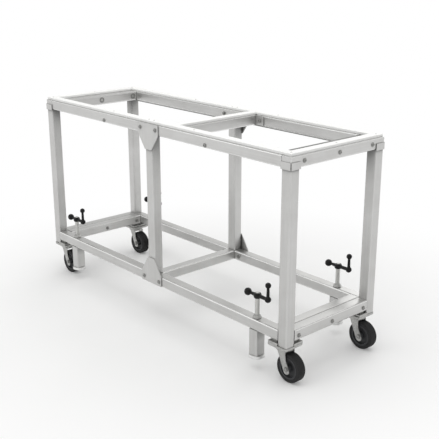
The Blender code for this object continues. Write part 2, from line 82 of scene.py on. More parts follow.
def extruded_aluminium(name, axis, shade, rough, wear, painted_shade, reach):
    """Mill-finish aluminium tube: satin grey, faint die lines along the tube,
    slow clouds where it was handled, smoother outer corners lightened partly by
    wear and partly as a painted highlight, and painted shade that darkens it where
    little open sky is above, toward inner corners and under the rails. Shade and
    rough are pairs from low to high; wear sets how much the corners lighten, and
    reach is how far off a wall the painted shade still falls."""
    finish, tree, shader = new_finish(name)
    die_line = 0.005  # real lines stand 0.5 mm apart, too fine for the picture
    line_length = 0.60
    cloud = 0.11
    scuff = 0.018
    corner = 0.0028
    flat, rounded = 0.997, 0.94  # longest part of the normal on a face and on a corner
    least_lighten, most_lighten = 0.6, 1.2
    rubbed_rough = 0.20
    skyward = 1.5  # painted shade falls where little open sky is above, so the test leans up
    closed_in, in_open = 0.20, 0.75  # share of open sky at full painted shade and at none
    line_depth = 0.0003
    spacing = [1 / die_line] * 3
    spacing["XYZ".index(axis)] = 1 / line_length
    place = add_node(tree, "ShaderNodeTexCoord", {}, {}).outputs["Object"]
    stretched = add_node(tree, "ShaderNodeMapping", {"Scale": spacing}, {"Vector": place})
    lines = add_node(tree, "ShaderNodeTexNoise", {"Scale": 1, "Detail": 2},
                     {"Vector": stretched.outputs["Vector"]})
    clouds = add_node(tree, "ShaderNodeTexNoise", {"Scale": 1 / cloud, "Detail": 4},
                      {"Vector": place})
    scuffs = add_node(tree, "ShaderNodeTexNoise", {"Scale": 1 / scuff, "Detail": 5},
                      {"Vector": place})
    soft = add_node(tree, "ShaderNodeBevel", {"samples": 6, "Radius": corner}, {})
    size = add_node(tree, "ShaderNodeVectorMath", {"operation": "ABSOLUTE"},
                    {0: soft.outputs["Normal"]})
    part = add_node(tree, "ShaderNodeSeparateXYZ", {}, {"Vector": size.outputs["Vector"]})
    level = add_node(tree, "ShaderNodeMath", {"operation": "MAXIMUM"},
                     {0: part.outputs["X"], 1: part.outputs["Y"]})
    square = add_node(tree, "ShaderNodeMath", {"operation": "MAXIMUM"},
                      {0: level.outputs["Value"], 1: part.outputs["Z"]})
    edge = add_node(tree, "ShaderNodeMapRange", {"From Min": flat, "From Max": rounded},
                    {"Value": square.outputs["Value"]})
    # Corners lightened toward pale grey: partly edge wear, partly a painted highlight along the rounded
    # corners
    rubbed_and_highlit = add_node(tree, "ShaderNodeMapRange",
                      {"To Min": least_lighten * wear, "To Max": most_lighten * wear},
                      {"Value": scuffs.outputs["Fac"]})
    worn_and_highlit = add_node(tree, "ShaderNodeMath", {"operation": "MULTIPLY"},
                    {0: edge.outputs["Result"], 1: rubbed_and_highlit.outputs["Result"]})
    drawn = add_node(tree, "ShaderNodeMix",
                     {"data_type": "RGBA", 6: linear(shade[0]), 7: linear(shade[1])},
                     {0: lines.outputs["Fac"]})
    handled = add_node(tree, "ShaderNodeMix",
                       {"data_type": "RGBA", "blend_type": "MULTIPLY", 7: linear("#EBEAE9")},
                       {0: clouds.outputs["Fac"], 6: drawn.outputs[2]})
    highlit = add_node(tree, "ShaderNodeMix", {"data_type": "RGBA", 7: linear("#ECECEB")},
                      {0: worn_and_highlit.outputs["Value"], 6: handled.outputs[2]})
    upward = add_node(tree, "ShaderNodeVectorMath", {"operation": "ADD", 1: (0, 0, skyward)},
                      {0: soft.outputs["Normal"]})
    above = add_node(tree, "ShaderNodeVectorMath", {"operation": "NORMALIZE"},
                     {0: upward.outputs["Vector"]})
    # Painted shade: the less open sky above a point, the darker its colour
    open_side = add_node(tree, "ShaderNodeAmbientOcclusion", {"samples": 8, "Distance": reach},
                         {"Normal": above.outputs["Vector"]})
    painted_shade_level = add_node(tree, "ShaderNodeMapRange",
                      {"From Min": closed_in, "From Max": in_open, "To Min": 1 - painted_shade},
                      {"Value": open_side.outputs["AO"]})
    shaded_colour = add_node(tree, "ShaderNodeMix", {"data_type": "RGBA", "blend_type": "MULTIPLY", 0: 1.0},
                     {6: highlit.outputs[2], 7: painted_shade_level.outputs["Result"]})
    dull = add_node(tree, "ShaderNodeMapRange", {"To Min": rough[0], "To Max": rough[1]},
                    {"Value": clouds.outputs["Fac"]})
    gloss = add_node(tree, "ShaderNodeMix", {"data_type": "FLOAT", 3: rubbed_rough},
                     {0: worn_and_highlit.outputs["Value"], 2: dull.outputs["Result"]})
    relief = add_node(tree, "ShaderNodeBump", {"Strength": 0.10, "Distance": line_depth},
                      {"Height": lines.outputs["Fac"], "Normal": soft.outputs["Normal"]})
    shader.inputs["Metallic"].default_value = 1.0
    tree.links.new(shaded_colour.outputs[2], shader.inputs["Base Color"])
    tree.links.new(gloss.outputs[0], shader.inputs["Roughness"])
    tree.links.new(relief.outputs["Normal"], shader.inputs["Normal"])
    return finish


def coat(node, finish):
    """Gives a CAD node its finish."""
    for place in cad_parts[node].material_slots:
        place.material = finish


def shown(name, bm, finish):
    """Makes the mesh one smooth piece with its finish."""
    sharp_from = math.radians(38)
    bmesh.ops.recalc_face_normals(bm, faces=bm.faces)
    mesh = bpy.data.meshes.new(name)
    bm.to_mesh(mesh)
    bm.free()
    mesh.materials.append(finish)
    mesh.shade_smooth()
    mesh.set_sharp_from_angle(angle=sharp_from)
    piece = bpy.data.objects.new(name, mesh)
    bpy.context.scene.collection.objects.link(piece)
    return piece


def rounded_bar(bm, axis, low, high, corner):
    """Adds a closed bar between two box corners, its four long edges rounded."""
    steps = 5
    along = "XYZ".index(axis)
    across, up = [i for i in range(3) if i != along]
    middle = (low + high) / 2
    half = (high - low) / 2
    rows = []
    for end in (low[along], high[along]):
        row = []
        for side_u, side_v, start in ((1, 1, 0), (-1, 1, 1), (-1, -1, 2), (1, -1, 3)):
            for i in range(steps + 1):
                angle = math.pi / 2 * (start + i / steps)
                point = middle.copy()
                point[along] = end
                point[across] += side_u * (half[across] - corner) + corner * math.cos(angle)
                point[up] += side_v * (half[up] - corner) + corner * math.sin(angle)
                row.append(bm.verts.new(point))
        rows.append(row)
    for i in range(len(rows[0])):
        bm.faces.new((rows[0][i - 1], rows[0][i], rows[1][i], rows[1][i - 1]))
    bm.faces.new(rows[0])
    bm.faces.new(rows[1])


TUBE_CORNER = 0.0060
TUBE_SHADE = ("#C5C5C4", "#D4D4D3")
TUBE_ROUGH = (0.34, 0.44)
# Level tubes: corners lightened as wear and as a painted highlight, painted shade only close to a seam
tube_x = extruded_aluminium("extruded_aluminium_x", "X", TUBE_SHADE, TUBE_ROUGH,
                            wear=0.9, painted_shade=0.45, reach=0.012)
tube_y = extruded_aluminium("extruded_aluminium_y", "Y", TUBE_SHADE, TUBE_ROUGH,
                            wear=0.9, painted_shade=0.45, reach=0.012)
coat("lower_rail_front", tube_x)
coat("lower_rail_rear", tube_x)
coat("lower_cross_rail", tube_y)
for side in ("right", "left"):
    for rail in ("end", "inner"):
        node = "lower_" + rail + "_rail_" + side
        coat(node, tube_y)
        end_tube = bmesh.new()
        rounded_bar(end_tube, "Y", *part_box(node), TUBE_CORNER)
        end_tube = shown("lower_" + rail + "_tube_" + side, end_tube, tube_y)
        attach(end_tube, "frame")
        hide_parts(node)

# Seam strips: a thin strip of mid grey aluminium lies in the groove between the two
# tubes of each lower pair, as painted shade: it draws the groove's dark line.
SEAM_HALF = 0.0050
SEAM_DROP = 0.0012
SEAM_H = 0.0040
SEAM_SHORT = 0.0020
SEAM_ROUND = 0.0010
DULL_ROUGH = (0.45, 0.58)
# Seam strip: mid grey and dull, as painted shade, hardly rubbed
seam_shade = extruded_aluminium("stained_aluminium_seam", "Y", ("#949493", "#A8A8A7"), DULL_ROUGH,
                                  wear=0.2, painted_shade=0.45, reach=0.012)
seams = bmesh.new()
for side in ("right", "left"):
    low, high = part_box("lower_end_rail_" + side)
    seam = low.x if side == "right" else high.x
    top = high.z - SEAM_DROP
    rounded_bar(seams, "Y", Vector((seam - SEAM_HALF, low.y + SEAM_SHORT, top - SEAM_H)),
                Vector((seam + SEAM_HALF, high.y - SEAM_SHORT, top)), SEAM_ROUND)
seams = shown("lower_seam_strips", seams, seam_shade)
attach(seams, "frame")

# Legs: the same tube, upright. Each corner leg has a folded bracket welded to
# its top, whose two flanges hold the rails; the middle legs stand on the lower
# rails.
CORNERS = ("front_right", "front_left", "rear_right", "rear_left")
# Upright tubes: corners hardly lightened, and painted shade reaching up under the rails
tube_z = extruded_aluminium("extruded_aluminium_z", "Z", TUBE_SHADE, TUBE_ROUGH,
                            wear=0.1, painted_shade=0.74, reach=0.30)
for corner in CORNERS:
    coat("leg_" + corner, tube_z)
coat("mid_leg_front", tube_z)
coat("mid_leg_rear", tube_z)

# Top frame: two long rails between two capped end rails, a second tube inside
# each end, and a cross rail with a welded flange at each end. The outer tubes
# and the cross tube stand in for solids that have the wear strip in one with
# them, so that the strip can be a piece of its own.
STRIP_H = 0.0110
STRIP_GAP = 0.0003
JOINT_GAP = 0.0018
FLANGE_T = 0.0050
FLANGE_EDGE = 0.0020
OUTER_RAILS = (("front", "X", "top_rail_front"), ("rear", "X", "top_rail_rear"),
               ("right", "Y", "top_end_rail_right"), ("left", "Y", "top_end_rail_left"))
for place, axis, node in OUTER_RAILS:
    low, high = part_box(node)
    high.z -= STRIP_H + STRIP_GAP
    if axis == "X":
        low.x, high.x = low.x + JOINT_GAP, high.x - JOINT_GAP
    rail = bmesh.new()
    rounded_bar(rail, axis, low, high, TUBE_CORNER)
    rail = shown("rail_tube_" + place, rail, tube_x if axis == "X" else tube_y)
    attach(rail, "frame")
    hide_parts(node)

low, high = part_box("top_cross_rail")
high.z -= STRIP_H + STRIP_GAP
tube_side = high.z - low.z
cross_x = (low.x + high.x) / 2
cross = bmesh.new()
rounded_bar(cross, "Y", Vector((cross_x - tube_side / 2, low.y, low.z)),
            Vector((cross_x + tube_side / 2, high.y, high.z)), TUBE_CORNER)
flanges = bmesh.new()
for start in (low.y, high.y - FLANGE_T):
    rounded_bar(flanges, "Y", Vector((low.x, start, low.z + FLANGE_EDGE)),
                Vector((high.x, start + FLANGE_T, high.z - FLANGE_EDGE)), TUBE_CORNER)
# Sheared plate: the tube's grey, a little duller, with painted shade where it meets a rail
plate_cut = extruded_aluminium("sheared_aluminium_plate", "Z", TUBE_SHADE, (0.36, 0.46),
                               wear=0.05, painted_shade=0.65, reach=0.03)
for piece in (shown("cross_rail_tube", cross, tube_y),
              shown("cross_rail_flanges", flanges, plate_cut)):
    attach(piece, "frame")
    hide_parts("top_cross_rail")

# The right inner tube: the same aluminium, a darker and duller grey as painted shade on its top
shaded_tube_y = extruded_aluminium("stained_aluminium_y", "Y", ("#757574", "#8A8A89"), DULL_ROUGH,
                                    wear=0.2, painted_shade=0.45, reach=0.10)
coat("top_inner_rail_right", shaded_tube_y)
coat("top_inner_rail_left", tube_y)

# Wear strips: white plastic bars, planed flat and screwed down on the flat of
# the outer top rails and the cross rail, so that a slab doesn't lie on metal.
STRIP_INSET = 0.0045
STRIP_EDGE = 0.0012


def planed_plastic(name):
    """Planed white plastic: nearly even, with broad greyish smears from stone
    slurry and short scuffs, and a dull sheen."""
    finish, tree, shader = new_finish(name)
    smear_size = 0.07
    scuff_size = 0.006
    scuff_depth = 0.0002
    place = add_node(tree, "ShaderNodeTexCoord", {}, {}).outputs["Object"]
    smears = add_node(tree, "ShaderNodeTexNoise", {"Scale": 1 / smear_size, "Detail": 4},
                      {"Vector": place})
    scuffs = add_node(tree, "ShaderNodeTexNoise", {"Scale": 1 / scuff_size, "Detail": 3},
                      {"Vector": place})
    marked = add_node(tree, "ShaderNodeMath", {"operation": "MULTIPLY"},
                      {0: smears.outputs["Fac"], 1: scuffs.outputs["Fac"]})
    colour = add_node(tree, "ShaderNodeMix",
                      {"data_type": "RGBA", 6: linear("#FAFAF9"), 7: linear("#EDEDEB")},
                      {0: marked.outputs["Value"]})
    gloss = add_node(tree, "ShaderNodeMapRange", {"To Min": 0.55, "To Max": 0.72},
                     {"Value": smears.outputs["Fac"]})
    relief = add_node(tree, "ShaderNodeBump", {"Strength": 0.10, "Distance": scuff_depth},
                      {"Height": scuffs.outputs["Fac"]})
    shader.inputs["Specular IOR Level"].default_value = 0.25
    tree.links.new(colour.outputs[2], shader.inputs["Base Color"])
    tree.links.new(gloss.outputs["Result"], shader.inputs["Roughness"])
    tree.links.new(relief.outputs["Normal"], shader.inputs["Normal"])
    return finish


def edged_bar(bm, low, high, edge):
    """Adds a bar between two corners, with its edges rounded off."""
    place = Matrix.Translation((low + high) / 2) @ Matrix.Diagonal((*(high - low), 1))
    corners = bmesh.ops.create_cube(bm, size=1, matrix=place)["verts"]
    edges = list({line for corner in corners for line in corner.link_edges})
    bmesh.ops.bevel(bm, geom=edges, offset=edge, segments=3, profile=0.5, affect="EDGES")


white_plastic = planed_plastic("planed_white_plastic")
for place, axis, node in OUTER_RAILS + (("cross", "Y", "top_cross_rail"),):
    low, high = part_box(node)
    low.z = high.z - STRIP_H
    inset = Vector((STRIP_INSET, STRIP_INSET, 0))
    if axis == "X":
        inset.x = STRIP_GAP - STRIP_INSET
    if place == "cross":
        low.x, high.x = cross_x - tube_side / 2, cross_x + tube_side / 2
        inset.y = STRIP_GAP - STRIP_INSET
    strip = bmesh.new()
    edged_bar(strip, low + inset, high - inset, STRIP_EDGE)
    strip = shown("wear_strip_" + place, strip, white_plastic)
    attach(strip, "frame")
    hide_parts(node)

# Gusset plates: 4 mm aluminium sheet, sheared to shape and bolted over the
# joints of the middle legs.
for place in ("top_front", "top_rear", "low_front", "low_rear"):
    coat("gusset_" + place, plate_cut)

# Frame bolts: button-head screws of zinc-plated steel on a washer, with a nut
# on a washer at the far side of the tube where the tube is bolted through.
BOLT_WASHER_R = 0.0100
BOLT_WASHER_T = 0.0016
BOLT_HEAD_R = 0.0072
BOLT_HEAD_T = 0.0048
BOLT_KEY_R = 0.0029
NUT_CORNER_R = 0.0075
NUT_T = 0.0065
STUD_R = 0.0040
EDGE_BREAK = 0.0004


def turned(bm, profile, place, points=24, closed=False):
    """Adds a body turned about the Z axis of place. Each step of the profile is
    a radius, a height and, for a ring with flats, how many flats it has."""
    rows = []
    for radius, height, *flats in profile:
        row = []
        for i in range(points):
            angle = 2 * math.pi * i / points
            reach = radius
            if flats:
                sector = 2 * math.pi / flats[0]
                reach *= math.cos(sector / 2) / math.cos(angle % sector - sector / 2)
            point = Vector((reach * math.cos(angle), reach * math.sin(angle), height))
            row.append(bm.verts.new(place @ point))
        rows.append(row)
    pairs = list(zip(rows, rows[1:]))
    if closed:
        pairs.append((rows[-1], rows[0]))
    else:
        bm.faces.new(rows[0])
        bm.faces.new(rows[-1])
    for below, above in pairs:
        for i in range(points):
            bm.faces.new((below[i - 1], below[i], above[i], above[i - 1]))


def facing(at, out):
    """Place at a point, with its Z axis along out."""
    return Matrix.Translation(at) @ Vector(out).to_track_quat("Z", "Y").to_matrix().to_4x4()


def bolt_head(bm, at, out):
    """Washer and button head with its key socket, standing out from a face."""
    top = BOLT_WASHER_T + BOLT_HEAD_T
    turned(bm, [(BOLT_WASHER_R, 0), (BOLT_WASHER_R, BOLT_WASHER_T - EDGE_BREAK),
                (BOLT_WASHER_R - EDGE_BREAK, BOLT_WASHER_T), (BOLT_HEAD_R, BOLT_WASHER_T),
                (BOLT_HEAD_R, BOLT_WASHER_T + 0.15 * BOLT_HEAD_T),
                (0.93 * BOLT_HEAD_R, BOLT_WASHER_T + 0.50 * BOLT_HEAD_T),
                (0.76 * BOLT_HEAD_R, BOLT_WASHER_T + 0.82 * BOLT_HEAD_T),
                (0.52 * BOLT_HEAD_R, top), (BOLT_KEY_R, top, 6),
                (BOLT_KEY_R, top - 0.6 * BOLT_HEAD_T, 6)], facing(at, out))


def bolt_nut(bm, at, out):
    """Washer, hexagon nut and the end of the bolt's thread."""
    top = BOLT_WASHER_T + NUT_T
    turned(bm, [(BOLT_WASHER_R, 0), (BOLT_WASHER_R, BOLT_WASHER_T - EDGE_BREAK),
                (BOLT_WASHER_R - EDGE_BREAK, BOLT_WASHER_T), (NUT_CORNER_R, BOLT_WASHER_T, 6),
                (NUT_CORNER_R, top - 0.15 * NUT_T, 6), (0.86 * NUT_CORNER_R, top),
                (STUD_R, top), (STUD_R, top + 0.3 * NUT_T),
                (0.85 * STUD_R, top + 0.4 * NUT_T)], facing(at, out))


def zinc_plated_steel(name, dark, light, spangle):
    """Zinc-plated steel: cool grey, broken into faint patches by the plating
    crystals, a little duller where it was handled."""
    finish, tree, shader = new_finish(name)
    smear_size = 6 * spangle
    corner = 0.0012
    smear_depth = 0.0003
    place = add_node(tree, "ShaderNodeTexCoord", {}, {}).outputs["Object"]
    crystals = add_node(tree, "ShaderNodeTexVoronoi", {"Scale": 1 / spangle}, {"Vector": place})
    patch = add_node(tree, "ShaderNodeSeparateColor", {}, {"Color": crystals.outputs["Color"]})
    smear = add_node(tree, "ShaderNodeTexNoise", {"Scale": 1 / smear_size, "Detail": 5},
                     {"Vector": place})
    mixed = add_node(tree, "ShaderNodeMath", {"operation": "MULTIPLY"},
                     {0: patch.outputs["Red"], 1: smear.outputs["Fac"]})
    colour = add_node(tree, "ShaderNodeMix",
                      {"data_type": "RGBA", 6: linear(dark), 7: linear(light)},
                      {0: mixed.outputs["Value"]})
    gloss = add_node(tree, "ShaderNodeMapRange", {"To Min": 0.30, "To Max": 0.52},
                     {"Value": smear.outputs["Fac"]})
    soft = add_node(tree, "ShaderNodeBevel", {"samples": 6, "Radius": corner}, {})
    relief = add_node(tree, "ShaderNodeBump", {"Strength": 0.08, "Distance": smear_depth},
                      {"Height": smear.outputs["Fac"], "Normal": soft.outputs["Normal"]})
    shader.inputs["Metallic"].default_value = 1.0
    tree.links.new(colour.outputs[2], shader.inputs["Base Color"])
    tree.links.new(gloss.outputs["Result"], shader.inputs["Roughness"])
    tree.links.new(relief.outputs["Normal"], shader.inputs["Normal"])
    return finish


# Zinc plating gone grey: bolts read as small darker discs on the tube
bolt_zinc = zinc_plated_steel("zinc_plated_bolts", "#8A8A88", "#B0B0AE", spangle=0.004)
low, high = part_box("top_rail_front")
middle_x = (low.x + high.x) / 2
top_z = high.z
front_y = low.y
rear_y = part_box("top_rail_rear")[1].y
RAIL_BOLTS_X = (-0.365, 0.404)
RAIL_BOLT_Z = 0.950
rail_bolts = bmesh.new()
for x in RAIL_BOLTS_X:
    for y, out in ((front_y, -1), (rear_y, 1)):
        bolt_head(rail_bolts, (middle_x + x, y, RAIL_BOLT_Z), (0, out, 0))
rail_bolts = shown("top_rail_bolts", rail_bolts, bolt_zinc)
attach(rail_bolts, "frame")

# End rail bolts go through both tubes of a pair. Below they end in plain nuts; at
# the top a domed plug in a pressed zinc ring covers each nut's access hole.
END_BOLT_Y = 0.212
END_TOP_DROP = 0.036
END_LOW_Z = 0.2105
PLUG_R = 0.0096
PLUG_T = 0.0026
PLUG_RIM = 0.0020
SEAT_R = 0.0145
SEAT_T = 0.0022
# Zinc rings in a darker grey that draw the plugs' outline
seat_zinc = zinc_plated_steel("dulled_zinc_ring", "#868684", "#989896", spangle=0.003)
# The same zinc: plugs a shade darker than the rail
plug_zinc = zinc_plated_steel("dulled_zinc_plug", "#A8A8A6", "#BABAB8", spangle=0.003)
end_bolts = bmesh.new()
end_plugs = bmesh.new()
end_seats = bmesh.new()
for side, out in (("right", 1), ("left", -1)):
    for rail, level in (("top", top_z - END_TOP_DROP), ("lower", END_LOW_Z)):
        low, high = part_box(rail + "_end_rail_" + side)
        inner_low, inner_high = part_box(rail + "_inner_rail_" + side)
        outer_x = high.x if out > 0 else low.x
        inner_x = inner_low.x if out > 0 else inner_high.x
        for y in (-END_BOLT_Y, 0, END_BOLT_Y):
            bolt_head(end_bolts, (outer_x, y, level), (out, 0, 0))
            if rail == "lower":
                bolt_nut(end_bolts, (inner_x, y, level), (-out, 0, 0))
                continue
            hole = facing((inner_x, y, level), (-out, 0, 0))
            turned(end_plugs, [(PLUG_R, 0), (PLUG_R, 0.4 * PLUG_T),
                               (PLUG_R - 0.4 * PLUG_RIM, 0.7 * PLUG_T),
                               (PLUG_R - PLUG_RIM, 0.5 * PLUG_T), (0.55 * PLUG_R, 0.85 * PLUG_T),
                               (0.2 * PLUG_R, PLUG_T)], hole)
            turned(end_seats, [(SEAT_R, 0), (SEAT_R, 0.6 * SEAT_T), (SEAT_R - 0.4 * SEAT_T, SEAT_T),
                               (PLUG_R + EDGE_BREAK, SEAT_T), (PLUG_R + EDGE_BREAK, 0)],
                   hole, closed=True)
end_bolts = shown("end_rail_bolts", end_bolts, bolt_zinc)
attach(end_bolts, "frame")
end_plugs = shown("end_rail_plugs", end_plugs, plug_zinc)
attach(end_plugs, "frame")
end_seats = shown("end_rail_seats", end_seats, seat_zinc)
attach(end_seats, "frame")

# Gusset bolts: a button head at each side of the plate goes through it and the
# rail, with its nut on the rail's inner face.
GUSSET_BOLTS = {"top": (0.057, 0.9635), "low": (0.059, 0.214)}  # half spacing and height
gusset_bolts = bmesh.new()
for level, (half, z) in GUSSET_BOLTS.items():
    for side, out in (("front", -1), ("rear", 1)):
        low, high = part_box("gusset_" + level + "_" + side)
        face_y = high.y if out > 0 else low.y
        inner_y = (rear_y if out > 0 else front_y) - out * tube_side
        for x in (middle_x - half, middle_x + half):
            bolt_head(gusset_bolts, (x, face_y, z), (0, out, 0))
            bolt_nut(gusset_bolts, (x, inner_y, z), (0, -out, 0))
gusset_bolts = shown("gusset_bolts", gusset_bolts, bolt_zinc)
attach(gusset_bolts, "frame")

# Cross rail bolts: button heads that hold the welded flanges to the long rails,
# one on each side of the cross tube.
FLANGE_BOLT_HALF = 0.056
flange_bolts = bmesh.new()
low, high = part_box("top_cross_rail")
for y, out in ((low.y + FLANGE_T, 1), (high.y - FLANGE_T, -1)):
    for half in (-FLANGE_BOLT_HALF, FLANGE_BOLT_HALF):
        bolt_head(flange_bolts, (cross_x + half, y, low.z + tube_side / 2), (0, out, 0))
flange_bolts = shown("cross_rail_bolts", flange_bolts, bolt_zinc)
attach(flange_bolts, "frame")

# Edge bar: a thin flat of dull zinc-plated steel under the inner edge of the
# rear rail, as painted shade: it draws the dark line where the rail's rounded
# lower edge mirrors the shaded floor. It stops short of the legs.
EDGE_BAR_H = 0.0046
EDGE_BAR_T = 0.0030
EDGE_BAR_ROUND = 0.0006
EDGE_BAR_CLEAR = 0.0020
# Dull zinc: a darker, even grey, used as painted shade on the edge bar and the caster packing
shade_zinc = zinc_plated_steel("dull_zinc_flat", "#7E7E7C", "#949492", spangle=0.004)
low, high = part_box("top_rail_rear")
shade_bar = bmesh.new()
for left, right in (("leg_rear_left", "mid_leg_rear"), ("mid_leg_rear", "leg_rear_right")):
    edged_bar(shade_bar,
              Vector((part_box(left)[1].x + EDGE_BAR_CLEAR, low.y, low.z - EDGE_BAR_H)),
              Vector((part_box(right)[0].x - EDGE_BAR_CLEAR, low.y + EDGE_BAR_T, low.z)),
              EDGE_BAR_ROUND)
shade_bar = shown("rear_edge_bar", shade_bar, shade_zinc)
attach(shade_bar, "frame")

# Strip screws: zinc-plated socket screws, sunk flush in the wear strips, which
# hold them down on the tubes.
SLAB_SCREW_R = 0.0045
SLAB_KEY_R = 0.0022
SLAB_SCREW_T = 0.0004
SLAB_SCREWS_X = (-0.313, -0.0246, 0.014, 0.303)
SLAB_SCREWS_Y = (-0.263, 0.004, 0.263)
# Clean zinc: grey dots on the white plastic
screw_zinc = zinc_plated_steel("zinc_plated_screws", "#8E8E8C", "#B6B6B4", spangle=0.004)
slab_screws = bmesh.new()
places = [(middle_x + x, y, top_z) for x in SLAB_SCREWS_X
          for y in (front_y + tube_side / 2, rear_y - tube_side / 2)]
for side in ("right", "left"):
    low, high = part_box("top_end_rail_" + side)
    places += [((low.x + high.x) / 2, y, top_z) for y in SLAB_SCREWS_Y]
for at in places:
    turned(slab_screws, [(SLAB_SCREW_R, -SLAB_SCREW_T), (SLAB_SCREW_R, SLAB_SCREW_T / 2),
                         (0.9 * SLAB_SCREW_R, SLAB_SCREW_T), (SLAB_KEY_R, SLAB_SCREW_T, 6),
                         (SLAB_KEY_R, -SLAB_SCREW_T, 6)], facing(at, (0, 0, 1)))
slab_screws = shown("slab_screws", slab_screws, screw_zinc)
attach(slab_screws, "frame")

# Caster plate and fork: pressed steel, galvanised. A riser plate on the caster
# plate leaves room for the leg, a smaller packing block stands on it under the
# rails, and bolts go up through all three; the fork turns on the kingpin.
RISER_T = 0.0110
RISER_EDGE = 0.0006
RISER_SHORT = 0.006
LEG_CLEAR = 0.0010
PACKING_IN = 0.010
PACKING_CLEAR = 0.0004
PLATE_T = 0.010
MOUNT_HEAD_R = 0.0095
MOUNT_HEAD_T = 0.0056
MOUNT_REACH = 0.036
# Hot-dipped zinc: light grey with larger patches than the plated bolts
galvanised = zinc_plated_steel("galvanised_pressings", "#A6A6A4", "#CBCBC9", spangle=0.007)
risers = bmesh.new()
packing = bmesh.new()
mount_bolts = bmesh.new()
rail_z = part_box("lower_rail_front")[0].z - PACKING_CLEAR
for corner in CORNERS:
    coat("caster_plate_" + corner, galvanised)
    coat("caster_fork_" + corner, galvanised)
    low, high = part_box("caster_plate_" + corner)
    leg_low, leg_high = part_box("leg_" + corner)
    centre = (low + high) / 2
    if centre.x > middle_x:
        low.x += RISER_SHORT
        leg_side = leg_high.x - tube_side - LEG_CLEAR
        inner_x, leg_x = (low.x, leg_side), (leg_side, high.x)
    else:
        high.x -= RISER_SHORT
        leg_side = leg_low.x + tube_side + LEG_CLEAR
        inner_x, leg_x = (leg_side, high.x), (low.x, leg_side)
    if centre.y < 0:
        high.y -= RISER_SHORT
        inner_y = (leg_low.y + tube_side + LEG_CLEAR, high.y)
    else:
        low.y += RISER_SHORT
        inner_y = (low.y, leg_high.y - tube_side - LEG_CLEAR)
    top = high.z + RISER_T
    for xs, ys in ((inner_x, (low.y, high.y)), (leg_x, inner_y)):
        edged_bar(risers, Vector((xs[0], ys[0], high.z)), Vector((xs[1], ys[1], top)), RISER_EDGE)
        edged_bar(packing, Vector((xs[0] + PACKING_IN, ys[0] + PACKING_IN, top)),
                  Vector((xs[1] - PACKING_IN, ys[1] - PACKING_IN, rail_z)), RISER_EDGE)
    for along_x, along_y in ((1, 1), (1, -1), (-1, 1), (-1, -1)):
        at = (centre.x + along_x * MOUNT_REACH, centre.y + along_y * MOUNT_REACH, high.z - PLATE_T)
        turned(mount_bolts, [(1.1 * MOUNT_HEAD_R, 0), (1.1 * MOUNT_HEAD_R, BOLT_WASHER_T),
                             (MOUNT_HEAD_R, BOLT_WASHER_T, 6), (MOUNT_HEAD_R, 0.85 * MOUNT_HEAD_T, 6),
                             (0.85 * MOUNT_HEAD_R, MOUNT_HEAD_T)], facing(at, (0, 0, -1)))
# The packing block is a real spacer, drawn in the dark zinc as painted shade so the slot under the rails
# reads as one dark band
for name, bm, finish in (("caster_risers", risers, galvanised), ("caster_packing", packing, shade_zinc),
                         ("caster_mounting_bolts", mount_bolts, bolt_zinc)):
    piece = shown(name, bm, finish)
    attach(piece, "frame")

# Wheels: a rubber tyre with ribs round its tread, moulded on a cast core that
# turns on the axle bolt.
TYRE_SIDES = 96
TYRE_RIM_R = 0.0488
TYRE_HALF_W = 0.0220
# Rise over the rim and share of the half width: bead, ring groove and side wall
TYRE_WALL = ((0, 0.92), (0.0030, 0.95), (0.0035, 0.92), (0.0045, 0.97), (0.0085, 1.00))
# Drop from the tread and share of the half width
TYRE_SHOULDER = ((0.0030, 0.97), (0.0008, 0.88))
TREAD_HALF_W = 0.8 * TYRE_HALF_W
TREAD_RIBS = 5
TREAD_GROOVE = 0.0020
RIB_FLANK = 0.2
HUB_SIDES = 64
HUB_BORE_R = 0.0065
HUB_BOSS_R = 0.0150
HUB_BOSS_HALF = 0.0250
HUB_WEB_HALF = 0.0070
HUB_RIM_HALF = 0.0205
HUB_EDGE = 0.0010
HUB_FIT = 0.0006


def dusty_dark(name, dark, light, grit, rough):
    """Moulded rubber, painted casting or black oxide: nearly even colour, paler
    dust in broad smears, and a fine grit that takes the gloss off."""
    finish, tree, shader = new_finish(name)
    smear_size = 14 * grit
    grit_depth = 0.0002
    place = add_node(tree, "ShaderNodeTexCoord", {}, {}).outputs["Object"]
    dust = add_node(tree, "ShaderNodeTexNoise", {"Scale": 1 / smear_size, "Detail": 6},
                    {"Vector": place})
    grain = add_node(tree, "ShaderNodeTexNoise", {"Scale": 1 / grit, "Detail": 2},
                     {"Vector": place})
    colour = add_node(tree, "ShaderNodeMix",
                      {"data_type": "RGBA", 6: linear(dark), 7: linear(light)},
                      {0: dust.outputs["Fac"]})
    gloss = add_node(tree, "ShaderNodeMapRange", {"To Min": rough[0], "To Max": rough[1]},
                     {"Value": dust.outputs["Fac"]})
    relief = add_node(tree, "ShaderNodeBump", {"Strength": 0.15, "Distance": grit_depth},
                      {"Height": grain.outputs["Fac"]})
    tree.links.new(colour.outputs[2], shader.inputs["Base Color"])
    tree.links.new(gloss.outputs["Result"], shader.inputs["Roughness"])
    tree.links.new(relief.outputs["Normal"], shader.inputs["Normal"])
    return finish


# Moulded rubber: soft black that lightens with dust
rubber = dusty_dark("black_moulded_rubber", "#0E0E0F", "#222223", grit=0.002, rough=(0.60, 0.85))
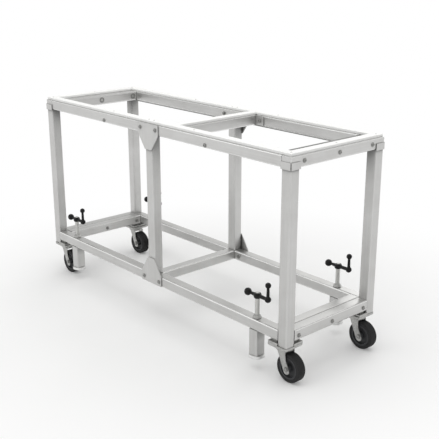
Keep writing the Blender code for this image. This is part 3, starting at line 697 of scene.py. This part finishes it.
# Cast core, painted: dark grey with a low shine
core = dusty_dark("grey_cast_core", "#2A2B2D", "#444547", grit=0.002, rough=(0.45, 0.65))
for corner in CORNERS:
    low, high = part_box("caster_tyre_" + corner)
    axle = facing((low + high) / 2, (0, 1, 0))
    tread_r = (high.z - low.z) / 2
    wall = [(TYRE_RIM_R + rise, share * TYRE_HALF_W) for rise, share in TYRE_WALL]
    wall += [(tread_r - drop, share * TYRE_HALF_W) for drop, share in TYRE_SHOULDER]
    tread = []
    rib = 2 * TREAD_HALF_W / TREAD_RIBS
    for i in range(TREAD_RIBS):
        start = TREAD_HALF_W - i * rib
        tread += [(tread_r - TREAD_GROOVE, start), (tread_r, start - RIB_FLANK * rib),
                  (tread_r, start - (1 - RIB_FLANK) * rib), (tread_r - TREAD_GROOVE, start - rib)]
    profile = wall + tread + [(radius, -width) for radius, width in reversed(wall)]
    tyre = bmesh.new()
    turned(tyre, profile, axle, TYRE_SIDES, closed=True)
    tyre = shown("tyre_" + corner, tyre, rubber)
    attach(tyre, "wheel_" + corner)
    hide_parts("caster_tyre_" + corner)

    face = [(HUB_BORE_R, HUB_BOSS_HALF), (HUB_BOSS_R - HUB_EDGE, HUB_BOSS_HALF),
            (HUB_BOSS_R, HUB_BOSS_HALF - HUB_EDGE), (HUB_BOSS_R + HUB_EDGE, HUB_WEB_HALF),
            (0.70 * TYRE_RIM_R, HUB_WEB_HALF), (0.72 * TYRE_RIM_R, HUB_WEB_HALF + HUB_EDGE),
            (0.80 * TYRE_RIM_R, HUB_WEB_HALF + HUB_EDGE), (0.86 * TYRE_RIM_R, HUB_RIM_HALF),
            (TYRE_RIM_R - HUB_FIT, HUB_RIM_HALF)]
    hub = bmesh.new()
    turned(hub, face + [(radius, -width) for radius, width in reversed(face)], axle, HUB_SIDES,
           closed=True)
    hub = shown("wheel_core_" + corner, hub, core)
    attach(hub, "wheel_" + corner)
    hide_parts("caster_hub_" + corner)

# Axle bolts: zinc-plated, a hexagon head on one side of the fork and a lock
# nut on the other.
AXLE_NUT_R = 0.0098
AXLE_NUT_T = 0.0068
AXLE_WASHER_T = 0.0014
AXLE_NUT_IN = 0.0060
for corner in CORNERS:
    low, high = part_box("caster_fork_" + corner)
    hub_low, hub_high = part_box("caster_hub_" + corner)
    axle_nuts = bmesh.new()
    for y, out in ((low.y + AXLE_NUT_IN, -1), (high.y - AXLE_NUT_IN, 1)):
        at = ((hub_low.x + hub_high.x) / 2, y, (hub_low.z + hub_high.z) / 2)
        turned(axle_nuts, [(1.15 * AXLE_NUT_R, 0), (1.15 * AXLE_NUT_R, AXLE_WASHER_T),
                           (AXLE_NUT_R, AXLE_WASHER_T, 6), (AXLE_NUT_R, 0.85 * AXLE_NUT_T, 6),
                           (0.84 * AXLE_NUT_R, AXLE_NUT_T), (0.5 * AXLE_NUT_R, AXLE_NUT_T),
                           (0.48 * AXLE_NUT_R, 0.8 * AXLE_NUT_T)], facing(at, (0, out, 0)))
    axle_nuts = shown("axle_nuts_" + corner, axle_nuts, bolt_zinc)
    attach(axle_nuts, "fork_" + corner)

# Screw jacks, sleeve and collar nut: a short square aluminium tube stands under
# the lower rail, and a turned steel collar, threaded inside, sits on the rail
# above it.
NUT_SHOULDER = 0.0010
NUT_MOUTH = 0.0009
NUT_TOP_R = 0.0145
NUT_RIM = 0.0045
NUT_SIDES = 48
SCREW_R = 0.0105
SCREW_CLEAR = 0.0003


def turned_steel(name, dark, light, rough):
    """Turned steel: bright, with fine rings from the lathe across its axis and
    a slow change of tone where oil has dried."""
    finish, tree, shader = new_finish(name)
    ring = 0.0012  # tool marks are about 0.2 mm apart, drawn coarser to show
    round_length = 0.125
    oil_patch = 0.03
    ring_depth = 0.0002
    place = add_node(tree, "ShaderNodeTexCoord", {}, {}).outputs["Object"]
    stretched = add_node(tree, "ShaderNodeMapping",
                         {"Scale": (1 / round_length, 1 / round_length, 1 / ring)}, {"Vector": place})
    rings = add_node(tree, "ShaderNodeTexNoise", {"Scale": 1, "Detail": 2},
                     {"Vector": stretched.outputs["Vector"]})
    oil = add_node(tree, "ShaderNodeTexNoise", {"Scale": 1 / oil_patch, "Detail": 4},
                   {"Vector": place})
    colour = add_node(tree, "ShaderNodeMix",
                      {"data_type": "RGBA", 6: linear(dark), 7: linear(light)},
                      {0: oil.outputs["Fac"]})
    gloss = add_node(tree, "ShaderNodeMapRange", {"To Min": rough[0], "To Max": rough[1]},
                     {"Value": rings.outputs["Fac"]})
    relief = add_node(tree, "ShaderNodeBump", {"Strength": 0.08, "Distance": ring_depth},
                      {"Height": rings.outputs["Fac"]})
    shader.inputs["Metallic"].default_value = 1.0
    tree.links.new(colour.outputs[2], shader.inputs["Base Color"])
    tree.links.new(gloss.outputs["Result"], shader.inputs["Roughness"])
    tree.links.new(relief.outputs["Normal"], shader.inputs["Normal"])
    return finish


def jack_axis(corner):
    """The point on the floor under a jack's nut."""
    low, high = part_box("jack_nut_" + corner)
    return Vector(((low.x + high.x) / 2, (low.y + high.y) / 2, 0))


# The sleeve has the legs' finish, with painted shade only close under the rail
sleeve_tube = extruded_aluminium("sleeve_aluminium_z", "Z", TUBE_SHADE, TUBE_ROUGH,
                                 wear=0.1, painted_shade=0.45, reach=0.05)
# Turned collar: greyer and duller than the screw that runs in it
collar_steel = turned_steel("turned_collar_steel", "#A6A6A4", "#BEBEBC", rough=(0.38, 0.52))
bore = SCREW_R + SCREW_CLEAR
for corner in CORNERS:
    coat("jack_sleeve_" + corner, sleeve_tube)
    low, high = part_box("jack_nut_" + corner)
    radius = (high.x - low.x) / 2
    nut = bmesh.new()
    turned(nut, [(bore, low.z), (radius - NUT_SHOULDER, low.z),
                 (radius, low.z + NUT_SHOULDER), (radius, low.z + NUT_RIM - NUT_SHOULDER),
                 (radius - 0.6 * NUT_SHOULDER, low.z + NUT_RIM),
                 (NUT_TOP_R + NUT_SHOULDER, high.z - 1.6 * NUT_SHOULDER),
                 (NUT_TOP_R - NUT_SHOULDER, high.z), (bore + NUT_MOUTH, high.z),
                 (bore, high.z - NUT_MOUTH)],
           facing(jack_axis(corner), (0, 0, 1)), NUT_SIDES, closed=True)
    nut = shown("collar_nut_" + corner, nut, collar_steel)
    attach(nut, "frame")
    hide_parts("jack_nut_" + corner)

# Jack feet: a round pad of turned steel with a square ram on it, which slides in
# the sleeve without turning.
FOOT_EDGE = 0.0018
PAD_GAP = 0.0008
PAD_SIDES = 64
RAM_CORNER = 0.0045
RAM_LESS = 0.0070
# Turned foot, scoured by the floor: nearly white
foot_steel = turned_steel("turned_foot_steel", "#D6D6D5", "#ECECEB", rough=(0.42, 0.55))
for corner in CORNERS:
    axis = jack_axis(corner)
    low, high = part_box("jack_foot_" + corner)
    radius = (high.x - low.x) / 2
    sleeve_low, sleeve_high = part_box("jack_sleeve_" + corner)
    pad_top = sleeve_low.z - PAD_GAP
    ram_side = sleeve_high.x - sleeve_low.x - RAM_LESS
    foot = bmesh.new()
    turned(foot, [(radius - FOOT_EDGE, low.z), (radius, low.z + FOOT_EDGE),
                  (radius, pad_top - FOOT_EDGE), (radius - 0.3 * FOOT_EDGE, pad_top - 0.4 * FOOT_EDGE),
                  (radius - FOOT_EDGE, pad_top), (0.7 * radius, pad_top)],
           facing(axis, (0, 0, 1)), PAD_SIDES)
    ram = Vector((ram_side / 2, ram_side / 2, 0))
    rounded_bar(foot, "Z", Vector((axis.x, axis.y, pad_top)) - ram,
                Vector((axis.x, axis.y, high.z)) + ram, RAM_CORNER)
    foot = shown("jack_pad_" + corner, foot, foot_steel)
    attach(foot, "foot_" + corner)
    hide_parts("jack_foot_" + corner)

# Jack screws: bright steel with a cut thread that runs in the collar nut. A plain
# shank and a stepped end carry the crank; screw, crank and foot go down together.
THREAD_LEAD = 0.005
THREAD_DEPTH = 0.0007
THREAD_ROWS = 8
FLANK_SLOPE = 2.5
CREST_WIDTH = 0.75
SCREW_POINTS = 32
SCREW_FOOT_R = 0.0130
SCREW_FOOT_H = 0.0050
SHANK_H = 0.0080
SCREW_END_R = 0.0085
SCREW_END_RISE = 0.0155
SCREW_END_EDGE = 0.0012
CRANK_RISE = 0.1025
CRANK_FLAT = 0.0110
# Bright screw, kept clean by its nut: the glossiest steel here
screw_steel = turned_steel("bright_screw_steel", "#B0B0AE", "#CDCDCA", rough=(0.24, 0.36))
thread_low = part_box("lower_rail_front")[1].z
arm_z = thread_low + CRANK_RISE
crank_low = arm_z - CRANK_FLAT
thread_high = crank_low - SHANK_H
thread_steps = round((thread_high - thread_low) / THREAD_LEAD * THREAD_ROWS)
root_r = SCREW_R - THREAD_DEPTH
for corner in CORNERS:
    axis = jack_axis(corner)
    upright = facing(axis, (0, 0, 1))
    screw_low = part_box("jack_screw_" + corner)[0].z
    screw = bmesh.new()
    turned(screw, [(SCREW_FOOT_R, screw_low), (SCREW_FOOT_R, screw_low + SCREW_FOOT_H),
                   (root_r, screw_low + SCREW_FOOT_H), (root_r, thread_low)], upright, SCREW_POINTS)
    rows = []
    for step in range(thread_steps + 1):
        z = thread_low + (thread_high - thread_low) * step / thread_steps
        row = []
        for i in range(SCREW_POINTS):
            angle = 2 * math.pi * i / SCREW_POINTS
            part = ((z - thread_low) / THREAD_LEAD - i / SCREW_POINTS) % 1
            groove = min(1, max(0, FLANK_SLOPE * abs(2 * part - 1) - CREST_WIDTH))
            reach = SCREW_R - THREAD_DEPTH * groove
            row.append(screw.verts.new((axis.x + reach * math.cos(angle),
                                        axis.y + reach * math.sin(angle), z)))
        rows.append(row)
    for below, above in zip(rows, rows[1:]):
        for i in range(SCREW_POINTS):
            screw.faces.new((below[i - 1], below[i], above[i], above[i - 1]))
    screw.faces.new(rows[0])
    screw.faces.new(rows[-1])
    turned(screw, [(SCREW_R, thread_high), (SCREW_R, crank_low), (SCREW_END_R, crank_low),
                   (SCREW_END_R, arm_z + SCREW_END_RISE - SCREW_END_EDGE),
                   (SCREW_END_R - SCREW_END_EDGE, arm_z + SCREW_END_RISE)], upright, SCREW_POINTS)
    screw = shown("jack_spindle_" + corner, screw, screw_steel)
    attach(screw, "screw_" + corner)
    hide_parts("jack_screw_" + corner)

# Ball cranks: forged steel, turned and blackened. A flattened ball sits on the
# screw's end, a tapered arm runs through it from a counter ball to the boss, and
# an upright handle with a ball on top stands on the boss.
CRANK_BALL_R = 0.0180
COUNTER_BALL_R = 0.0168
COUNTER_BALL_X = 0.059
ARM_NECK_R = 0.0062
ARM_ROOT_R = 0.0086
ARM_TIP_R = 0.0080
BOSS_R = 0.0142
BOSS_X = 0.063
HANDLE_R = 0.0072
HANDLE_NECK_R = 0.0062
HANDLE_RISE = 0.064
HANDLE_BALL_R = 0.0130
BALL_STEPS = 14
BALL_TIP_R = 0.0010
CRANK_SIDES = 40


def ball(centre, radius, start_r, end_r):
    """Profile steps over a ball, from one neck radius to the other."""
    first = math.pi - math.asin(start_r / radius)
    last = math.asin(end_r / radius)
    turns = [first + (last - first) * i / BALL_STEPS for i in range(BALL_STEPS + 1)]
    return [(radius * math.sin(t), centre + radius * math.cos(t)) for t in turns]


# Black oxide on forged steel: a deep satin black with small highlights
black_oxide = dusty_dark("black_satin_crank", "#050506", "#0E0E0F", grit=0.0015, rough=(0.30, 0.46))
black_oxide.node_tree.nodes["Principled BSDF"].inputs["Specular IOR Level"].default_value = 0.25
flat_r = math.sqrt(CRANK_BALL_R ** 2 - CRANK_FLAT ** 2)
for corner in CORNERS:
    axis = jack_axis(corner)
    crank = bmesh.new()
    turned(crank, ball(0, CRANK_BALL_R, flat_r, flat_r),
           facing((axis.x, axis.y, arm_z), (0, 0, 1)), CRANK_SIDES)
    turned(crank, ball(-COUNTER_BALL_X, COUNTER_BALL_R, BALL_TIP_R, ARM_NECK_R)
           + [(ARM_ROOT_R, -flat_r), (ARM_ROOT_R, flat_r)]
           + ball(BOSS_X, BOSS_R, ARM_TIP_R, BALL_TIP_R),
           facing((axis.x, axis.y, arm_z), (1, 0, 0)), CRANK_SIDES)
    turned(crank, [(HANDLE_R, 0), (HANDLE_R, BOSS_R)]
           + ball(HANDLE_RISE, HANDLE_BALL_R, HANDLE_NECK_R, BALL_TIP_R),
           facing((axis.x + BOSS_X, axis.y, arm_z), (0, 0, 1)), CRANK_SIDES)
    crank = shown("ball_crank_" + corner, crank, black_oxide)
    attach(crank, "screw_" + corner)
    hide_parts("jack_crank_" + corner)

# Studio floor: concrete with a pale matt paint, which runs back so far that it
# meets the white of the room.
FLOOR_SIZE = 120.0
FLOOR_CELLS = 8
FADE_START = 0.6
FADE_END = 2.0
bm = bmesh.new()
bmesh.ops.create_grid(bm, x_segments=FLOOR_CELLS, y_segments=FLOOR_CELLS, size=FLOOR_SIZE / 2)
floor_mesh = bpy.data.meshes.new("studio_floor")
bm.to_mesh(floor_mesh)
bm.free()
floor = bpy.data.objects.new("studio_floor", floor_mesh)
bpy.context.scene.collection.objects.link(floor)

# Matt floor paint: even near-white, with the far part glowing to plain white
# as a lit backdrop does. The light that it throws back up on the object is that
# of a grey workshop floor, so that upright faces stay darker than level ones.
FLOOR_BOUNCE = 0.42
ROLLER_PATCH = 0.5
paint, tree, shader = new_finish("matt_floor_paint")
place = add_node(tree, "ShaderNodeTexCoord", {}, {}).outputs["Object"]
roller = add_node(tree, "ShaderNodeTexNoise", {"Scale": 1 / ROLLER_PATCH, "Detail": 3},
                  {"Vector": place})
painted = add_node(tree, "ShaderNodeMix",
                   {"data_type": "RGBA", 6: linear("#F3F3F3"), 7: linear("#F7F7F7")},
                   {0: roller.outputs["Fac"]})
bounced = add_node(tree, "ShaderNodeLightPath", {}, {}).outputs["Is Diffuse Ray"]
colour = add_node(tree, "ShaderNodeMix", {"data_type": "RGBA", 7: linear("#B0B0B0")},
                  {0: bounced, 6: painted.outputs[2]})
dimmed = add_node(tree, "ShaderNodeMapRange", {"To Min": 1.0, "To Max": FLOOR_BOUNCE},
                  {"Value": bounced})
reach = add_node(tree, "ShaderNodeVectorMath", {"operation": "LENGTH"}, {0: place})
fade = add_node(tree, "ShaderNodeMapRange",
                {"interpolation_type": "SMOOTHSTEP", "From Min": FADE_START, "From Max": FADE_END},
                {"Value": reach.outputs["Value"]})
glow = add_node(tree, "ShaderNodeEmission", {}, {"Strength": dimmed.outputs["Result"]})
blend = add_node(tree, "ShaderNodeMixShader", {},
                 {0: fade.outputs["Result"], 1: shader.outputs["BSDF"], 2: glow.outputs["Emission"]})
shader.inputs["Roughness"].default_value = 0.9
shader.inputs["Specular IOR Level"].default_value = 0.1
tree.links.new(colour.outputs[2], shader.inputs["Base Color"])
tree.links.new(blend.outputs["Shader"], tree.nodes["Material Output"].inputs["Surface"])
floor_mesh.materials.append(paint)

# Soft boxes: a large one over the table, and two low ones at the rear right and
# the front left of the picture, whose light lies along the lower tubes.


def soft_box(name, at, target, width, height, power):
    """A rectangular studio lamp that faces a point."""
    lamp = bpy.data.lights.new(name, "AREA")
    lamp.shape = "RECTANGLE"
    lamp.size = width
    lamp.size_y = height
    lamp.energy = power
    box = bpy.data.objects.new(name, lamp)
    box.location = at
    box.rotation_euler = (Vector(target) - Vector(at)).to_track_quat("-Z", "Y").to_euler()
    bpy.context.scene.collection.objects.link(box)


soft_box("overhead_box", at=(0.3, -0.6, 3.4), target=(0, 0, 0.6), width=3.2, height=2.4, power=21)
soft_box("rear_right_box", at=(-1.5, 4.55, 2.45), target=(0.8, 0.2, 0.3), width=2.0, height=1.2, power=11)
soft_box("front_left_box", at=(-1.9, -3.35, 2.2), target=(0.8, 0.2, 0.3), width=2.4, height=1.2, power=9)

# The room round the table: a white wall low down, grey above it with a broad
# window at the rear right, and a white ceiling, as the tubes' tops mirror them.
WALL_LIGHT = 1.1
WALL_TOP = 0.235
GREY_START = 0.30
GREY_LIGHT = 0.62
WINDOW_LIGHT = 1.45
WINDOW_SIDE = math.radians(104)
WINDOW_EDGE = 0.67
WINDOW_FULL = 0.86
CEILING_START = 0.78
CEILING_END = 0.95
CEILING_MORE = 0.60
world = bpy.data.worlds.new("studio_room")
world.use_nodes = True
tree = world.node_tree
toward = add_node(tree, "ShaderNodeTexCoord", {}, {}).outputs["Generated"]
height = add_node(tree, "ShaderNodeSeparateXYZ", {}, {"Vector": toward}).outputs["Z"]
window_side = (math.cos(WINDOW_SIDE), math.sin(WINDOW_SIDE), 0)
aside = add_node(tree, "ShaderNodeVectorMath", {"operation": "DOT_PRODUCT", 1: window_side},
                 {0: toward})
window = add_node(tree, "ShaderNodeMapRange",
                  {"From Min": WINDOW_EDGE, "From Max": WINDOW_FULL, "To Min": GREY_LIGHT,
                   "To Max": WINDOW_LIGHT}, {"Value": aside.outputs["Value"]})
walls = add_node(tree, "ShaderNodeMapRange",
                 {"From Min": WALL_TOP, "From Max": GREY_START, "To Min": WALL_LIGHT},
                 {"Value": height, "To Max": window.outputs["Result"]})
ceiling = add_node(tree, "ShaderNodeMapRange",
                   {"From Min": CEILING_START, "From Max": CEILING_END, "To Max": CEILING_MORE},
                   {"Value": height})
level = add_node(tree, "ShaderNodeMath", {},
                 {0: walls.outputs["Result"], 1: ceiling.outputs["Result"]})
room = tree.nodes["Background"]
room.inputs["Color"].default_value = linear("#FFFFFE")
tree.links.new(level.outputs["Value"], room.inputs["Strength"])
bpy.context.scene.world = world
bpy.context.scene.view_settings.view_transform = "Standard"

# Camera: a little above the top, looking down along the table from its right
# front corner.
CAMERA_AT = (2.9959, -2.5305, 1.7153)
CAMERA_FORWARD = (-0.7116, 0.6332, -0.3044)
CAMERA_LENS = 66.89
CAMERA_SENSOR = 36
CAMERA_REACH = 200
lens = bpy.data.cameras.new("photo_camera")
lens.lens = CAMERA_LENS
lens.sensor_width = CAMERA_SENSOR
lens.clip_end = CAMERA_REACH
camera = bpy.data.objects.new("photo_camera", lens)
camera.location = CAMERA_AT
camera.rotation_euler = Vector(CAMERA_FORWARD).to_track_quat("-Z", "Y").to_euler()
bpy.context.scene.collection.objects.link(camera)
bpy.context.scene.camera = camera
